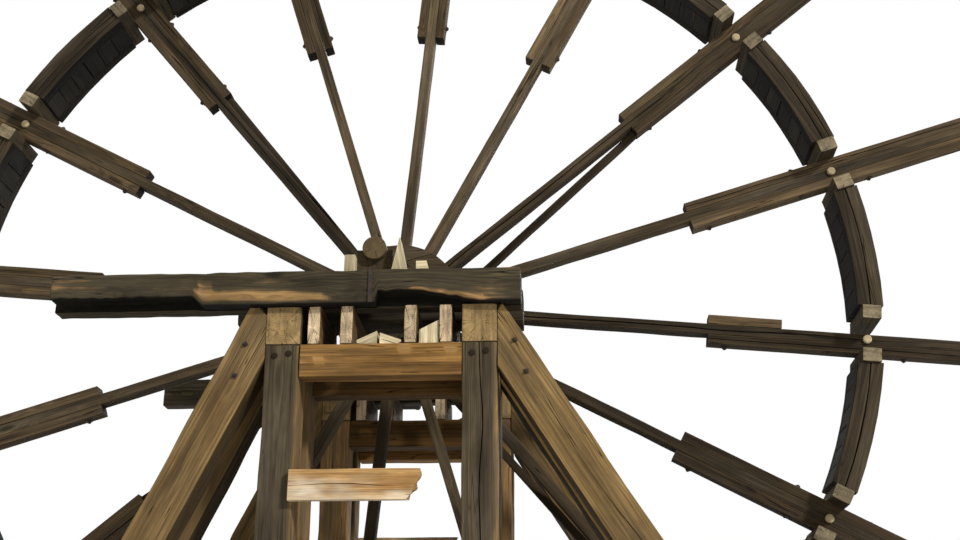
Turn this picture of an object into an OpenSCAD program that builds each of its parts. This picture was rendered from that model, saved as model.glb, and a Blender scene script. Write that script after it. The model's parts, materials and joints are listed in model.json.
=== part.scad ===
// Large open timber wheel that turns between two trestle towers of squared timber.
// X is along the trestle beams, Y is along the axle, Z is up. The origin is on the ground
// under the middle of the axle. All sizes are in millimetres.

/* [Wheel] */
// Radius over the outer rim
rim_r = 8840; // [8400:20:9000]
// Number of spokes, all in the wheel's middle plane
spoke_count = 16; // [14:1:18]
// Angle of the first spoke from the +X axis, in degrees
spoke_phase = 17.2; // [0:0.1:22.5]
// Width of the rim and the ring along the axle
wheel_w = 620; // [540:10:700]
// Radial depth of the outer rim
rim_depth = 340; // [280:10:400]
// Radius of the inner face of the middle ring
ring_r = 4850; // [4500:10:5300]
// Radial depth of the middle ring
ring_depth = 265; // [230:5:330]
// Thickness of a felloe along the axle
felloe_t = 130; // [100:5:150]
// Thickness of the boards that line the rim and the ring
sole_t = 80; // [50:5:120]
// Gap at each joint between felloes, and between boards
felloe_gap = 6; // [3:1:12]
// Thickness of the blocks that carry the felloes at both sides of a spoke
block_t = 150; // [110:5:180]
// Distance that a block stands proud of the felloes
block_proud = 25; // [10:5:50]
// Thickness of a cleat over a rim joint between two spokes
cleat_t = 40; // [25:5:60]
// Length of a cleat
splice_l = 640; // [500:10:800]

/* [Spokes] */
// Width of a spoke seen along the axle
spoke_w = 115; // [95:5:140]
// Depth of a spoke along the axle
spoke_t = 180; // [150:5:220]
// Radius at which the spokes end
spoke_end_r = 7390; // [7000:10:7900]
// Radius at which the cheek planks start
cheek_start_r = 3330; // [2800:10:3900]
// Thickness of a cheek plank
cheek_t = 100; // [80:5:130]
// Radius at which the broken upper plank of one spoke ends
short_cheek_r = 4100; // [3900:10:4400]

/* [Hub] */
// Distance from the axle's middle to the inner ends of the spokes
hub_r = 430; // [420:5:520]
// Radius of the round plates that clasp the spokes
plate_r = 700; // [640:10:900]
// Thickness of a clasping plate
plate_t = 45; // [30:5:70]
// Radius of the axle
axle_r = 115; // [110:5:160]
// Length of the axle
axle_len = 3730; // [3650:10:4200]

/* [Stays] */
// Side of a raking stay that braces a spoke from the axle
stay_w = 85; // [70:5:95]
// Distance from the wheel's middle plane to the middle of the collar that holds the stays
stay_y = 800; // [700:10:820]
// Radius of the collar
collar_r = 230; // [200:5:280]
// Length of the collar along the axle
collar_l = 240; // [200:10:280]

/* [Towers] */
// Height of the axle's middle over the ground
axle_z = 9300; // [9240:20:9800]
// Distance from the wheel's middle plane to the outer face of a tower
tower_out_y = 1945; // [1890:5:2000]
// Distance from the wheel's middle plane to the inner face of a tower
tower_in_y = 1030; // [970:5:1060]
// Side of a squared post
post_w = 330; // [280:5:380]
// Outer face of the left post, measured from the axle
left_post_x = 980; // [900:10:1100]
// Outer face of the right post, measured from the axle
right_post_x = 1180; // [1000:10:1300]

/* [Beams] */
// Drop from the axle's middle to the top of the bearing beams
beam_drop = 280; // [260:5:300]
// Height of a bearing beam
beam_h = 330; // [300:10:360]
// Depth of a bearing beam along the axle
beam_t = 360; // [320:10:400]
// Distance that the outer bearing beams stand out past the posts
beam_proud = 90; // [50:5:120]
// Reach of the outer bearing beams to the left of the axle
beam_left = 3050; // [2600:10:3600]
// Reach of the bearing beams to the right of the axle
beam_right = 1400; // [1320:10:1700]
// Left end of what is left of the slab along the outer beam's lower edge, from the axle
slab_left = 1680; // [1500:20:1900]
// Height of that slab
slab_h = 90; // [60:5:110]
// Start of the split to the right of the axle
split_start = 45; // [35:5:70]
// Place to the right of the axle from which the split grows shallower
split_mid = 460; // [400:10:520]
// End of the split
split_end = 1020; // [900:10:1100]
// Height of the split
split_h = 115; // [80:5:140]
// Depth of the split from the beam's outer face
split_depth = 170; // [120:10:200]
// Height of the caps that lie across the post tops
cap_h = 370; // [300:10:420]
// Width of a joist between the caps
joist_w = 120; // [90:5:140]
// Height of the upper rail between the posts
rail_h = 310; // [250:10:360]
// Depth of the upper rail
rail_t = 220; // [150:10:280]

/* [Struts] */
// Width of a raking strut seen along the axle
strut_w = 380; // [320:10:420]
// Spread of the left struts for each unit of drop
left_spread = 0.477; // [0.40:0.01:0.55]
// Spread of the right struts for each unit of drop
right_spread = 0.63; // [0.55:0.01:0.66]
// Width of the left strut's seat on the underside of the beam
left_toe = 170; // [120:10:240]
// Width of the right strut's seat on the underside of the beam
right_toe = 60; // [40:10:120]

/* [Ground frame] */
// Height of the sills and ties that lie on the ground
sill_h = 300; // [240:10:360]
// Length of sill beyond the foot of a strut
sill_end = 350; // [200:10:500]

/* [Girts] */
// Height of a girt plank
girt_h = 280; // [220:10:320]
// Thickness of a girt plank
girt_t = 70; // [50:5:90]
// Drop from the axle's middle to the top of the broken girt
broken_girt_drop = 2160; // [1900:10:2400]
// Length of what is left of the broken girt
broken_girt_l = 1205; // [1000:5:1300]
// Distance that its splintered end slants back
broken_slant = 110; // [60:5:160]
// Drop between the whole girts below it
girt_step = 1650; // [1400:10:1800]

/* [Bearings] */
// Radial running clearance between the axle and its saddle
axle_clear = 0.1; // [0.02:0.02:0.1]
// Width of a bearing saddle
saddle_w = 340; // [320:10:420]
// Length of a bearing saddle along the axle
saddle_len = 620; // [560:10:700]
// Width of the three-cornered chock beside a saddle
chock_w = 160; // [130:5:190]
// Height of that chock
chock_h = 370; // [320:10:420]
// Width of the low chock on the saddle's other side
low_chock_w = 105; // [80:5:130]
// Height of the low chock
low_chock_h = 190; // [150:5:230]
// Width of the loose block that lies farther along the beam
loose_w = 100; // [70:5:130]
// Height of the loose block
loose_h = 80; // [50:5:100]
// Place of the loose block's middle to the right of the axle
loose_x = 470; // [430:10:520]
// Depth of the chocks and wedges along the axle
wedge_w = 200; // [150:10:240]
// Width of an iron strap
strap_w = 40; // [30:5:50]
// Thickness of an iron strap
strap_t = 12; // [8:1:20]

/* [Hidden] */
$fn = 96;
e = 1;
step = 360 / spoke_count;
face_y = wheel_w / 2;
felloe_y = face_y - felloe_t;
spoke_y = spoke_t / 2;
thick_w = spoke_w + 2 * cheek_t;
rim_in_r = rim_r - rim_depth;
beam_z = axle_z - beam_drop - beam_h;
beam_face = -tower_out_y - beam_proud;
cap_z = beam_z - cap_h;
post_inner_left = -left_post_x + post_w;
post_inner_right = right_post_x - post_w;
joist_x = [-530, -225, 372, 700];
// Place of each rail wedge's thick end, its length, heights, and whether it points to the left
rail_wedges = [[60, 190, 130, 40, 1], [85, 200, 110, 40, 0],
    [joist_x[3] - joist_w / 2 - 5, 185, 225, 130, 1]];
whole_girts = 3;
broken_lap = 35;
block_inset = 35;
// Clearance that keeps a splice cleat just off the felloes it covers
cleat_gap = 0.05;
broken_spoke = 15;
stay_spokes = [1, 5, 9, 13];
wedge_inset = 20;
foot_drop = beam_z - sill_h;
left_foot = -(left_post_x + left_toe + left_spread * foot_drop);
right_foot = right_post_x + right_toe + right_spread * foot_drop;
tie_x = [left_foot, -left_post_x, post_inner_right, right_foot - post_w];

// Helpers
module along_y(y0, y1) {
    translate([0, y1, 0]) rotate([90, 0, 0]) linear_extrude(y1 - y0) children();
}

module on_wheel() {
    translate([0, 0, axle_z]) children();
}

module at_spoke(k) {
    rotate([0, -(spoke_phase + k * step), 0]) children();
}

module each_spoke() {
    for (k = [0:spoke_count - 1]) at_spoke(k) children();
}

module block(x0, x1, y0, y1, z0, z1) {
    translate([x0, y0, z0]) cube([x1 - x0, y1 - y0, z1 - z0]);
}

module at_back(is_back) {
    mirror([0, is_back ? 1 : 0, 0]) children();
}

// Wheel
module axle() {
    color("saddlebrown") on_wheel() along_y(-axle_len / 2, axle_len / 2) circle(r = axle_r);
}

// Outline with one flat for the inner end of each spoke
module hub_outline() {
    corner_r = hub_r / cos(step / 2);
    polygon([for (k = [0:spoke_count - 1])
        corner_r * [cos(spoke_phase + (k + 0.5) * step), sin(spoke_phase + (k + 0.5) * step)]]);
}

module hub_barrel() {
    color("dimgray") on_wheel() along_y(-face_y, face_y) difference() {
        hub_outline();
        circle(r = axle_r);
    }
}

module hub_plates() {
    color("dimgray") on_wheel() for (back = [0, 1]) mirror([0, back, 0])
        along_y(-spoke_y - plate_t, -spoke_y) difference() {
            circle(r = plate_r);
            hub_outline();
        }
}

module spokes() {
    color("saddlebrown") on_wheel() each_spoke()
        block(hub_r, spoke_end_r, -spoke_y, spoke_y, -spoke_w / 2, spoke_w / 2);
}

module cheek(r1, side) {
    mirror([0, 0, side])
        block(cheek_start_r, r1, -spoke_y, spoke_y, spoke_w / 2, spoke_w / 2 + cheek_t);
}

module spoke_cheeks() {
    color("peru") on_wheel() intersection() {
        along_y(-face_y, face_y) circle(r = rim_r - block_inset, $fn = 180);
        for (k = [0:spoke_count - 1]) at_spoke(k) {
            cheek(k == broken_spoke ? short_cheek_r : rim_r, 0);
            cheek(rim_r, 1);
        }
    }
}

// Raking bars from the ends of the lower cheeks to a collar on the axle, behind the wheel
module back_stays() {
    v0 = -spoke_w / 2 - (cheek_t + stay_w) / 2;
    color("peru") on_wheel() difference() {
        for (k = stay_spokes) at_spoke(k) translate([0, 0, v0]) linear_extrude(stay_w) polygon([
            [cheek_start_r, spoke_y], [cheek_start_r, spoke_y - stay_w],
            [0, stay_y - stay_w / 2], [0, stay_y + stay_w / 2]
        ]);
        along_y(0, tower_in_y) circle(r = collar_r);
    }
}

module stay_collar() {
    color("dimgray") on_wheel() along_y(stay_y - collar_l / 2, stay_y + collar_l / 2) difference() {
        circle(r = collar_r);
        circle(r = axle_r);
    }
}

module ring(r0, r1, y0, y1) {
    along_y(y0, y1) difference() {
        circle(r = r1, $fn = 180);
        circle(r = r0, $fn = 180);
    }
}

// The spaces that the spokes and the blocks beside them take in the ring and the rim
module spoke_gaps() {
    each_spoke() block(ring_r / 2, rim_r + e, -face_y - e, face_y + e,
        -thick_w / 2 - block_t, thick_w / 2 + block_t);
}

module middle_gaps() {
    rotate([0, -step / 2, 0]) each_spoke()
        block(ring_r / 2, rim_r + e, -face_y - e, face_y + e, -felloe_gap / 2, felloe_gap / 2);
}

module ring_felloes(is_back) {
    color("sienna") at_back(is_back) on_wheel() difference() {
        ring(ring_r, ring_r + ring_depth, -face_y, -felloe_y);
        spoke_gaps();
    }
}

module rim_felloes(is_back) {
    color("sienna") at_back(is_back) on_wheel() difference() {
        ring(rim_in_r, rim_r, -face_y, -felloe_y);
        spoke_gaps();
        middle_gaps();
    }
}

// Boards that lie across the wheel between the felloes
module sole(r0) {
    color("peru") on_wheel() difference() {
        ring(r0, r0 + sole_t, -felloe_y, felloe_y);
        spoke_gaps();
        middle_gaps();
    }
}

module half_sole(turn) {
    color("peru") on_wheel() intersection() {
        translate([0, 0, -axle_z]) sole(rim_in_r);
        rotate([0, -spoke_phase - turn, 0]) block(-rim_r, rim_r, -face_y, face_y, 0, rim_r + e);
    }
}

// Blocks across the wheel at both sides of each spoke
module blocks(r0, r1) {
    color("wheat") on_wheel() each_spoke() for (side = [0, 1]) mirror([0, 0, side])
        block(r0 + block_inset, r1 - block_inset, -face_y - block_proud, face_y + block_proud,
            thick_w / 2, thick_w / 2 + block_t);
}

// Cleats across the rim's joints between two spokes
module rim_cleats() {
    color("wheat") on_wheel() for (back = [0, 1]) mirror([0, back, 0])
        rotate([0, -step / 2, 0]) each_spoke()
            block(rim_in_r + block_inset, rim_r - block_inset, -face_y - cleat_t,
                -face_y - cleat_gap, -splice_l / 2, splice_l / 2);
}

// Towers
module posts(is_left) {
    x0 = is_left ? -left_post_x : post_inner_right;
    color("sienna") for (y0 = [-tower_out_y, -tower_in_y - post_w])
        block(x0, x0 + post_w, y0, y0 + post_w, sill_h, cap_z);
}

module caps() {
    color("burlywood") for (x0 = [-left_post_x, post_inner_right])
        block(x0, x0 + post_w, -tower_out_y, -tower_in_y, cap_z, beam_z);
}

// The outer beam has lost a slab along its lower outer edge
module bearing_beams() {
    color("saddlebrown") {
        difference() {
            block(-beam_left, beam_right, beam_face, beam_face + beam_t, beam_z, beam_z + beam_h);
            along_y(beam_face - e, beam_face + split_depth) translate([0, beam_z]) {
                polygon([[-beam_left - e, -e], [-beam_left - e, slab_h], [-slab_left, slab_h],
                    [-slab_left + slab_h, -e]]);
                polygon([[split_start, -e], [split_start, split_h], [split_mid, split_h], [split_end, -e]]);
            }
        }
        block(-beam_right, beam_right, -tower_in_y - beam_t, -tower_in_y, beam_z, beam_z + beam_h);
    }
}

module joists() {
    color("burlywood") for (x = joist_x)
        block(x - joist_w / 2, x + joist_w / 2, -tower_out_y, -tower_in_y, cap_z, beam_z);
}

module upper_rails() {
    color("peru") for (y0 = [-tower_out_y, -tower_in_y - rail_t])
        block(post_inner_left, post_inner_right, y0, y0 + rail_t, cap_z - rail_h, cap_z);
}

module broken_girt() {
    z1 = axle_z - broken_girt_drop;
    x0 = post_inner_left - broken_lap;
    x1 = x0 + broken_girt_l;
    color("peru") along_y(-tower_out_y - girt_t, -tower_out_y) polygon([
        [x0, z1], [x1, z1], [x1 - broken_slant / 2, z1 - girt_h / 3],
        [x1 - broken_slant / 4, z1 - girt_h / 2], [x1 - broken_slant, z1 - girt_h], [x0, z1 - girt_h]
    ]);
}

module girts() {
    color("peru") for (k = [1:whole_girts], y0 = [-tower_out_y - girt_t, -tower_in_y]) {
        z1 = axle_z - broken_girt_drop - k * girt_step;
        block(-left_post_x, right_post_x, y0, y0 + girt_t, z1 - girt_h, z1);
    }
}

// Outline of a strut that spreads to +X from a post face at x = 0
module strut_outline(spread, toe) {
    across = strut_w * sqrt(1 + spread * spread);
    drop = beam_z - sill_h;
    polygon([
        [0, 0], [toe, 0], [toe + spread * drop, -drop],
        [toe - across + spread * drop, -drop], [0, -(across - toe) / spread]
    ]);
}

module struts(is_left) {
    face = is_left ? left_post_x : right_post_x;
    color("sienna") for (y0 = [-tower_out_y, -tower_in_y - post_w])
        mirror([is_left ? 1 : 0, 0, 0]) along_y(y0, y0 + post_w) translate([face, beam_z])
            strut_outline(is_left ? left_spread : right_spread, is_left ? left_toe : right_toe);
}

// Ground frame
module sills() {
    color("sienna") for (y0 = [-tower_out_y, -tower_in_y - post_w])
        block(left_foot - sill_end, right_foot + sill_end, y0, y0 + post_w, 0, sill_h);
}

module sill_blocks() {
    color("sienna") for (back = [0, 1], x = tie_x) mirror([0, back, 0])
        block(x, x + post_w, -tower_out_y + post_w, -tower_in_y - post_w, 0, sill_h);
}

module ground_ties() {
    color("sienna") for (x = tie_x)
        block(x, x + post_w, -tower_in_y, tower_in_y, 0, sill_h);
}

// Bearings
module saddle() {
    y_mid = -(tower_out_y + tower_in_y) / 2;
    color("dimgray") on_wheel() along_y(y_mid - saddle_len / 2, y_mid + saddle_len / 2) difference() {
        translate([-saddle_w / 2, -beam_drop]) square([saddle_w, beam_drop]);
        circle(r = axle_r + axle_clear);
    }
}

module wedge(length, high, low) {
    along_y(-wedge_w, 0) polygon([[0, 0], [length, 0], [length, low], [0, high]]);
}

// Chocks that hold a saddle, a loose block, and the wedges left on the outer upper rail
module chocks() {
    y1 = -tower_out_y + wedge_inset + wedge_w;
    color("wheat") {
        translate([saddle_w / 2, y1, beam_z + beam_h]) along_y(-wedge_w, 0)
            polygon([[0, 0], [chock_w, 0], [chock_w / 2, chock_h]]);
        translate([-saddle_w / 2 - low_chock_w, y1, beam_z + beam_h])
            wedge(low_chock_w, low_chock_h, low_chock_h);
        translate([loose_x - loose_w / 2, y1 - beam_proud, beam_z + beam_h])
            wedge(loose_w, loose_h, loose_h);
        for (place = rail_wedges) translate([place[0], y1, cap_z])
            mirror([place[4], 0, 0]) wedge(place[1], place[2], place[3]);
    }
}

module beam_straps() {
    color("dimgray") for (back = [0, 1]) mirror([0, back, 0])
        block(-strap_w / 2, strap_w / 2, beam_face - strap_t, beam_face, beam_z, beam_z + beam_h);
}

axle();
hub_barrel();
hub_plates();
spokes();
spoke_cheeks();
back_stays();
stay_collar();
ring_felloes(false);  // front_ring_felloes
ring_felloes(true);  // back_ring_felloes
sole(ring_r);  // ring_sole
blocks(ring_r, ring_r + ring_depth);  // ring_blocks
rim_felloes(false);  // front_rim_felloes
rim_felloes(true);  // back_rim_felloes
half_sole(0);  // upper_rim_sole
half_sole(180);  // lower_rim_sole
blocks(rim_in_r, rim_r);  // rim_blocks
rim_cleats();
posts(true);  // front_left_posts
posts(false);  // front_right_posts
at_back(true) posts(true);  // back_left_posts
at_back(true) posts(false);  // back_right_posts
caps();  // front_caps
at_back(true) caps();  // back_caps
bearing_beams();  // front_bearing_beams
at_back(true) bearing_beams();  // back_bearing_beams
joists();  // front_joists
at_back(true) joists();  // back_joists
upper_rails();  // front_upper_rails
at_back(true) upper_rails();  // back_upper_rails
broken_girt();  // front_broken_girt
at_back(true) broken_girt();  // back_broken_girt
girts();  // front_girts
at_back(true) girts();  // back_girts
struts(true);  // front_left_struts
struts(false);  // front_right_struts
at_back(true) struts(true);  // back_left_struts
at_back(true) struts(false);  // back_right_struts
sills();  // front_sills
at_back(true) sills();  // back_sills
sill_blocks();
ground_ties();
saddle();  // front_saddle
at_back(true) saddle();  // back_saddle
chocks();  // front_chocks
at_back(true) chocks();  // back_chocks
beam_straps();
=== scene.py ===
"""Looks of a tall open timber wheel that turns between two trestle towers.

Each timber is built again around its solid, with worn edges, drying cracks, sawn ends and grain
of its own. Lengths are in metres: X along the trestle beams, Y along the axle, Z up.
"""
import functools
import json
import math

import bpy
import numpy as np
from mathutils import Matrix, Vector


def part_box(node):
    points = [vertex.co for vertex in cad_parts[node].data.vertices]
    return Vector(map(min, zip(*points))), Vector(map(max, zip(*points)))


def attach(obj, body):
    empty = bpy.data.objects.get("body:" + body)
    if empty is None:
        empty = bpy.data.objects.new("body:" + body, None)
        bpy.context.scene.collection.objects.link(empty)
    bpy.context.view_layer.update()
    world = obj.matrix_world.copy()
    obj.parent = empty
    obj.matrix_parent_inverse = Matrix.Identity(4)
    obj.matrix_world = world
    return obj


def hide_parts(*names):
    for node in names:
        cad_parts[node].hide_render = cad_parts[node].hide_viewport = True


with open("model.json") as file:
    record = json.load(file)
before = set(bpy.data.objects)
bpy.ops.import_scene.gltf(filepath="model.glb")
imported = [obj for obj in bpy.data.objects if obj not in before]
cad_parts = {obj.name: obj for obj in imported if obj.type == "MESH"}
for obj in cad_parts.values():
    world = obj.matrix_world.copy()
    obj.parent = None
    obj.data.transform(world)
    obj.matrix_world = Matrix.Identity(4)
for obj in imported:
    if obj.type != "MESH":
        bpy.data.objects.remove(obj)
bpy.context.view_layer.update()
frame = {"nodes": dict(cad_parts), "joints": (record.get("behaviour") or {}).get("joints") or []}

X, Y, Z = range(3)
FULL_TURN = 2 * math.pi

# The towers, and which way each lies from the wheel along Y, and the two sides of a tower
TOWERS = {"front": -1, "back": 1}
HANDS = ("_left", "_right")

# The wheel's axis, from the frame
AXLE_HEIGHT = frame["joints"][0]["pos_m"][Z]
AXLE_LOW, AXLE_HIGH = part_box("axle")
AXLE_RADIUS = (AXLE_HIGH.z - AXLE_LOW.z) / 2

# How each kind of timber is worn: bevel, wane at the corners, roughness of the faces,
# width and depth of its drying cracks, chance of a crack on a face, and spacing of the stations
HEWN = dict(bevel=0.014, wane=0.022, rough=0.006, crack=0.008, depth=0.035, chance=0.6, step=0.20)
RAKING = dict(HEWN, crack=0.006, depth=0.02, chance=0.4)
SPLIT_BEAM = dict(HEWN, step=0.035, chance=0.0, wane=0.012)
SAWN = dict(bevel=0.006, wane=0.008, rough=0.003, crack=0.010, depth=0.035, chance=0.45, step=0.24)
RAIL = dict(SAWN, chance=0.0, step=0.035)
STAVE = dict(SAWN, chance=0.0, wane=0.0)
ROUND = dict(SAWN, rough=0.0, wane=0.0, step=0.3)
PLANK = dict(bevel=0.004, wane=0.005, rough=0.002, crack=0.007, depth=0.022, chance=0.25, step=0.30)
SMALL = dict(bevel=0.005, wane=0.006, rough=0.002, crack=0.006, depth=0.015, chance=0.25, step=0.10)
FORGED = dict(bevel=0.002, wane=0.0, rough=0.001, crack=0.0, depth=0.0, chance=0.0, step=0.10)


# Reading the frame

def solids(node):
    """The corner points of each solid in a CAD node."""
    mesh = frame["nodes"][node].data
    flat = np.empty(len(mesh.vertices) * 3)
    mesh.vertices.foreach_get("co", flat)
    points, index = np.unique(flat.reshape(-1, 3).round(4), axis=0, return_inverse=True)
    edges = np.empty(len(mesh.edges) * 2, dtype=np.int64)
    mesh.edges.foreach_get("vertices", edges)
    edges = index.ravel()[edges].reshape(-1, 2)
    group = np.arange(len(points))
    while True:
        before = group.copy()
        low = np.minimum(group[edges[:, 0]], group[edges[:, 1]])
        np.minimum.at(group, edges[:, 0], low)
        np.minimum.at(group, edges[:, 1], low)
        group = group[group]
        if np.array_equal(group, before):
            return [points[group == g] for g in np.unique(group)]


def limits(points, axis):
    """Where points start and stop along an axis."""
    return points[:, axis].min(), points[:, axis].max()


def outermost(points):
    """How far points reach from the wheel's middle plane."""
    return abs(points[:, Y]).max()


def radii(points):
    """How far each point is from the axle's line."""
    return np.hypot(points[:, X], points[:, Z] - AXLE_HEIGHT)


def wrapped(angle):
    """The same direction, as an angle of at most half a turn either way."""
    return (angle + math.pi) % FULL_TURN - math.pi


def direction(points):
    """The direction of some points from the axle, in radians from +X towards +Z."""
    return math.atan2(points[:, Z].mean() - AXLE_HEIGHT, points[:, X].mean())


SPOKE_ANGLES = np.array(sorted(map(direction, solids("spokes"))))


def nearest_spoke(points):
    """The direction of the spoke beside which some points lie."""
    gap = wrapped(SPOKE_ANGLES - direction(points))
    return float(SPOKE_ANGLES[np.argmin(abs(gap))])


def spun(points, angle):
    """Points turned about the axle, from +X towards +Z."""
    if not angle:
        return points
    c, s = math.cos(angle), math.sin(angle)
    x, y, z = np.moveaxis(np.array(points), -1, 0)
    z = z - AXLE_HEIGHT
    return np.stack([x * c - z * s, y, x * s + z * c + AXLE_HEIGHT], -1)


def hull(points):
    """The convex outline of points in a plane, anticlockwise."""
    points = sorted(set(map(tuple, np.round(points, 5))))
    rows = []
    for run in (points, points[::-1]):
        chain = []
        for p in run:
            while len(chain) > 1:
                (ax, ay), (bx, by) = chain[-2], chain[-1]
                if (bx - ax) * (p[1] - ay) - (by - ay) * (p[0] - ax) > 1e-9:
                    break
                chain.pop()
            chain.append(p)
        rows += chain[:-1]
    return np.array(rows)


def span(outline, across):
    """Lowest and highest first coordinate of a convex outline at each second coordinate."""
    low = np.full(across.shape, np.inf)
    high = np.full(across.shape, -np.inf)
    floor, top = limits(outline, 1)
    across = np.clip(across, floor + 1e-6, top - 1e-6)
    for (u0, v0), (u1, v1) in zip(outline, np.roll(outline, -1, axis=0)):
        if abs(v1 - v0) < 1e-9:
            continue
        inside = (across >= min(v0, v1)) & (across <= max(v0, v1))
        u = u0 + (u1 - u0) * (across - v0) / (v1 - v0)
        low = np.where(inside, np.minimum(low, u), low)
        high = np.where(inside, np.maximum(high, u), high)
    return low, high


# Chance and softness

def wobble(x, rng, waves=5):
    """A smooth random curve from -1 to 1, about one wave for each unit of x."""
    total = np.zeros(np.shape(x))
    for k in range(waves):
        pace = rng.uniform(0.45, 2.6)
        total = total + np.sin(FULL_TURN * (pace * x + rng.uniform(0, 1))) / (1 + 0.35 * k)
    return total / 2.6


def rough_surface(rng):
    """A random rough surface from 0 to 1 over a section."""
    waves = [(rng.uniform(-70, 70), rng.uniform(-70, 70), rng.uniform(0, 6.3)) for _ in range(6)]

    def height(a, b):
        total = sum(np.sin(x * a + y * b + p) for x, y, p in waves)
        return np.clip(0.5 + total / 5, 0, 1)

    return height


def tree_place(rng, heart):
    """Where in the trunk a timber was cut: a random length offset and the pith's place."""
    return np.array([rng.uniform(0, 60), rng.uniform(-heart, heart), rng.uniform(-heart, heart)])


def near(value, low, high, soft):
    """1 between two limits, falling to 0 over a distance soft outside them."""
    return np.clip(np.minimum(value - low, high - value) / soft + 1, 0, 1)


def marked(x, z, marks):
    """How much pale split wood and painted light shows on a face with marks. Each has its strength, and
    its limits in x and z.
    """
    return np.maximum.reduce([share * near(x, *along) * near(z, *up) for share, along, up in marks])


# Shaping timbers

# What a point round a section is for: the face itself, or the lips and the floor of its crack
FACE, LEFT_LIP, CRACK_FLOOR, RIGHT_LIP = range(4)

# The side of a rectangular section where its first direction is lowest
LOW_A = 3

# An edge of a section longer than the first has a point half way, and longer than the second has
# two more, and a crack
HALVED_EDGE = 0.04
WIDE_EDGE = 0.09

# How far a crack wanders and how deep it goes, as shares of a face, and half its width when closed
CRACK_WANDER = 0.2
DEEPEST_CRACK = 0.3
HAIRLINE = 0.003

# Waves to the metre in the roughness of a face and in the wane of a corner
ROUGH_WAVES = 1.7
WANE_WAVES = 0.5

# A sawn end: its bevel as a share of the timber's, and how large its rings of points are
END_BEVEL = 0.6
END_RINGS = (0.985, 0.82, 0.62, 0.4, 0.2)

# Wear of the long edges, the ends' edges and the ends, and the depth at which a crack is black
EDGE_WEAR = 0.9
RIM_WEAR = 0.5
END_WEAR = 0.2
BLACK_DEPTH = 0.02

# Faces that meet at a larger angle than this have a sharp edge between them
SHARP = math.radians(28)


class Section:
    """Points round a timber's section: where they are, which way is out, and what they are for."""

    def __init__(self, corners, bevel, cracked):
        corners = np.array(corners, float)
        self.sides = len(corners)
        middle = corners.mean(axis=0)
        rows = []
        for k, a in enumerate(corners):
            b = corners[(k + 1) % self.sides]
            length = np.linalg.norm(b - a)
            along = (b - a) / length
            out = np.array([along[1], -along[0]])
            cut = min(bevel, length * 0.2)
            wide = length > WIDE_EDGE
            roles = [FACE] if length > HALVED_EDGE else []
            if wide and cracked:
                roles = [LEFT_LIP, CRACK_FLOOR, RIGHT_LIP]
            inner = [(a + along * length / 2, role) for role in roles]
            if wide:
                inner.insert(0, (a + along * length * 0.22, FACE))
                inner.append((a + along * length * 0.78, FACE))
            tip = (middle - b) / np.linalg.norm(middle - b)
            rows.append((a + along * cut, out, along, k, FACE, True))
            rows += [(at, out, along, k, role, False) for at, role in inner]
            rows.append((b - along * cut, out, along, k, FACE, True))
            rows.append((b + tip * cut * 0.5, -tip, along, k, FACE, True))
        self.at, self.out, self.along, self.side, self.role, self.corner = map(np.array, zip(*rows))


def rectangle(a0, a1, b0, b1):
    return [(a0, b0), (a1, b0), (a1, b1), (a0, b1)]


def circle(radius, count, height=0.0):
    turns = FULL_TURN * np.arange(count) / count
    return np.stack([radius * np.cos(turns), height + radius * np.sin(turns)], -1)


def faces_between(ring, following):
    """Faces between two closed rows of points, given by their numbers."""
    return np.stack([ring, np.roll(ring, -1), np.roll(following, -1), following], axis=1).tolist()


def new_object(name, data):
    """An object with some data, put in the scene."""
    made = bpy.data.objects.new(name, data)
    bpy.context.scene.collection.objects.link(made)
    return made


class Heap:
    """One mesh in the making: points, faces, and for each point its grain and its look.

    Grain is the place in the tree the timber was cut from. Look is the timber's tone, which on some
    timbers is painted light and shade, the wear (2 is newly split wood, also used for painted
    sunlight), the depth in a crack or the darkness of painted shade, and 1 on end grain. seed may be
    another heap's rng.
    """

    def __init__(self, seed):
        self.rng = np.random.default_rng(seed)
        self.parts, self.faces, self.count = [], [], 0

    def add(self, parts, faces):
        """Adds parts, each with points, grain and look, and the faces that join them."""
        self.faces += [[i + self.count for i in face] for face in faces]
        for part in parts:
            self.parts.append([values.reshape(-1, values.shape[-1]) for values in part])
            self.count += len(self.parts[-1][0])

    def build(self, name, slot, body, nodes=(), finish=None):
        points, grain, look = map(np.concatenate, zip(*self.parts))
        mesh = bpy.data.meshes.new(name)
        mesh.from_pydata(points.tolist(), [], self.faces)
        layer = mesh.attributes.new("grain", "FLOAT_VECTOR", "POINT")
        layer.data.foreach_set("vector", grain.astype(np.float32).ravel())
        layer = mesh.attributes.new("look", "FLOAT_COLOR", "POINT")
        layer.data.foreach_set("color", look.astype(np.float32).ravel())
        mesh.materials.append(material(finish or slot))
        mesh.polygons.foreach_set("use_smooth", [True] * len(mesh.polygons))
        mesh.set_sharp_from_angle(angle=SHARP)
        mesh.validate()
        piece = new_object(name, mesh)
        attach(piece, body)
        if nodes:
            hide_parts(*nodes)


def cracks(section, t, style, rng):
    """Shift, half width and depth of the crack on each side at each station."""
    shift = np.zeros((len(t), section.sides))
    half = np.full_like(shift, HAIRLINE)
    depth = np.zeros_like(shift)
    for side in range(section.sides):
        if rng.random() > style["chance"]:
            continue
        middle, extent = rng.uniform(0.05, 0.95), rng.uniform(0.15, 0.5)
        shape = np.sqrt(np.clip(1 - ((t - middle) / extent) ** 2, 0, 1))
        size = rng.uniform(0.5, 1.0)
        shift[:, side] = wobble(t * 3, rng) * 0.5 + wobble(t * 12, rng) * 0.06
        half[:, side] += style["crack"] / 2 * shape * size
        depth[:, side] = style["depth"] * shape * size
    return shift, half, depth


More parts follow.
